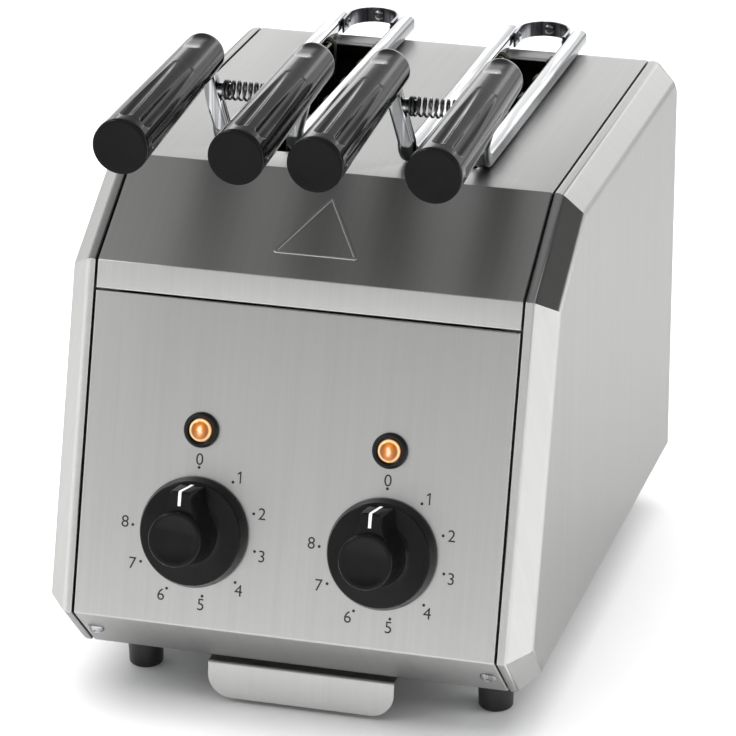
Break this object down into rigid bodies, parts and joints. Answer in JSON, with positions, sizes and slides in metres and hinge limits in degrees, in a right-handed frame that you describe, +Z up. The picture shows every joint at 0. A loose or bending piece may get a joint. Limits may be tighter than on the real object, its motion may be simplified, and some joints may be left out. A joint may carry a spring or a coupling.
{
  "type": "sandwich toaster",
  "caption": "Stainless counter-top sandwich toaster with top slots, timer knobs, lift-out spring tongs and a crumb tray.",
  "frame": {"origin": "on the table, in the middle of the object's box", "axes": "+X to the right seen from the front, +Y to the rear, +Z up"},
  "size_m": [0.23, 0.3434, 0.297],
  "materials": {
    "stainless_steel": "brushed",
    "galvanised_steel": "dull zinc",
    "aluminised_steel": "mill",
    "quartz": "frosted",
    "ceramic": "unglazed",
    "chrome": "polished",
    "bakelite": "glossy",
    "black_plastic": "satin",
    "amber_lens": "clear amber",
    "rubber": "matt",
    "spring_steel": "blued"
  },
  "bodies": {
    "body": {"top_cover": "stainless_steel", "control_panel": "stainless_steel", "rear_panel": "stainless_steel", "base_pan": "galvanised_steel", "left_end_cap": "stainless_steel", "right_end_cap": "stainless_steel", "front_bulkhead": "galvanised_steel", "left_oven_liner": "aluminised_steel", "right_oven_liner": "aluminised_steel", "left_quartz_tubes": "quartz", "right_quartz_tubes": "quartz", "left_tube_ceramics": "ceramic", "right_tube_ceramics": "ceramic", "left_guard_rods": "chrome", "right_guard_rods": "chrome", "left_timer": "aluminised_steel", "right_timer": "aluminised_steel", "left_lamp_bezel": "black_plastic", "right_lamp_bezel": "black_plastic", "left_lamp_lens": "amber_lens", "right_lamp_lens": "amber_lens", "strip_screws": "chrome", "cable_gland": "black_plastic", "terminal_block": "ceramic", "front_left_foot": "rubber", "front_right_foot": "rubber", "rear_left_foot": "rubber", "rear_right_foot": "rubber", "tray_rails": "galvanised_steel"},
    "crumb_tray": {"crumb_tray": "stainless_steel"},
    "left_knob": {"left_knob": "bakelite", "left_timer_shaft": "chrome"},
    "left_tong": {"left_tong_strip": "spring_steel", "left_tong_rivet": "chrome", "left_tong_spring": "spring_steel"},
    "left_outer_arm": {"left_tong_outer_arm": "chrome", "left_tong_outer_handle": "bakelite", "left_tong_outer_plug": "black_plastic", "left_tong_outer_cage": "chrome"},
    "left_inner_arm": {"left_tong_inner_arm": "chrome", "left_tong_inner_handle": "bakelite", "left_tong_inner_plug": "black_plastic", "left_tong_inner_cage": "chrome"},
    "right_knob": {"right_knob": "bakelite", "right_timer_shaft": "chrome"},
    "right_tong": {"right_tong_strip": "spring_steel", "right_tong_rivet": "chrome", "right_tong_spring": "spring_steel"},
    "right_outer_arm": {"right_tong_outer_arm": "chrome", "right_tong_outer_handle": "bakelite", "right_tong_outer_plug": "black_plastic", "right_tong_outer_cage": "chrome"},
    "right_inner_arm": {"right_tong_inner_arm": "chrome", "right_tong_inner_handle": "bakelite", "right_tong_inner_plug": "black_plastic", "right_tong_inner_cage": "chrome"}
  },
  "joints": [
    {"name": "tray_slide", "type": "slide", "parent": "body", "child": "crumb_tray", "axis": [0, -1, 0], "range_m": [0, 0.2]},
    {"name": "left_timer_turn", "type": "hinge", "parent": "body", "child": "left_knob", "pos_m": [-0.0445, -0.13928, 0.09367], "axis": [0, 0.9583, -0.2857], "range_deg": [0, 270]},
    {"name": "left_tong_lift", "type": "slide", "parent": "body", "child": "left_tong", "axis": [0, 0, 1], "range_m": [0, 0.15]},
    {"name": "left_tong_squeeze_outer", "type": "hinge", "parent": "left_tong", "child": "left_outer_arm", "pos_m": [-0.0571, 0.15346, 0.2458], "axis": [0, 0, 1], "range_deg": [0, 2.2], "stiffness_Nm_per_rad": 12, "deforming": ["left_tong_spring", "left_tong_strip"]},
    {"name": "left_tong_squeeze_inner", "type": "hinge", "parent": "left_tong", "child": "left_inner_arm", "pos_m": [-0.0319, 0.15346, 0.2458], "axis": [0, 0, -1], "range_deg": [0, 2.2], "stiffness_Nm_per_rad": 12},
    {"name": "right_timer_turn", "type": "hinge", "parent": "body", "child": "right_knob", "pos_m": [0.0445, -0.13928, 0.09367], "axis": [0, 0.9583, -0.2857], "range_deg": [0, 270]},
    {"name": "right_tong_lift", "type": "slide", "parent": "body", "child": "right_tong", "axis": [0, 0, 1], "range_m": [0, 0.15]},
    {"name": "right_tong_squeeze_outer", "type": "hinge", "parent": "right_tong", "child": "right_outer_arm", "pos_m": [0.0571, 0.15346, 0.2458], "axis": [0, 0, -1], "range_deg": [0, 2.2], "stiffness_Nm_per_rad": 12, "deforming": ["right_tong_spring", "right_tong_strip"]},
    {"name": "right_tong_squeeze_inner", "type": "hinge", "parent": "right_tong", "child": "right_inner_arm", "pos_m": [0.0319, 0.15346, 0.2458], "axis": [0, 0, 1], "range_deg": [0, 2.2], "stiffness_Nm_per_rad": 12}
  ],
  "couplings": [
    {"joint": "left_tong_squeeze_inner", "follows": "left_tong_squeeze_outer", "ratio": 1},
    {"joint": "right_tong_squeeze_inner", "follows": "right_tong_squeeze_outer", "ratio": 1}
  ]
}
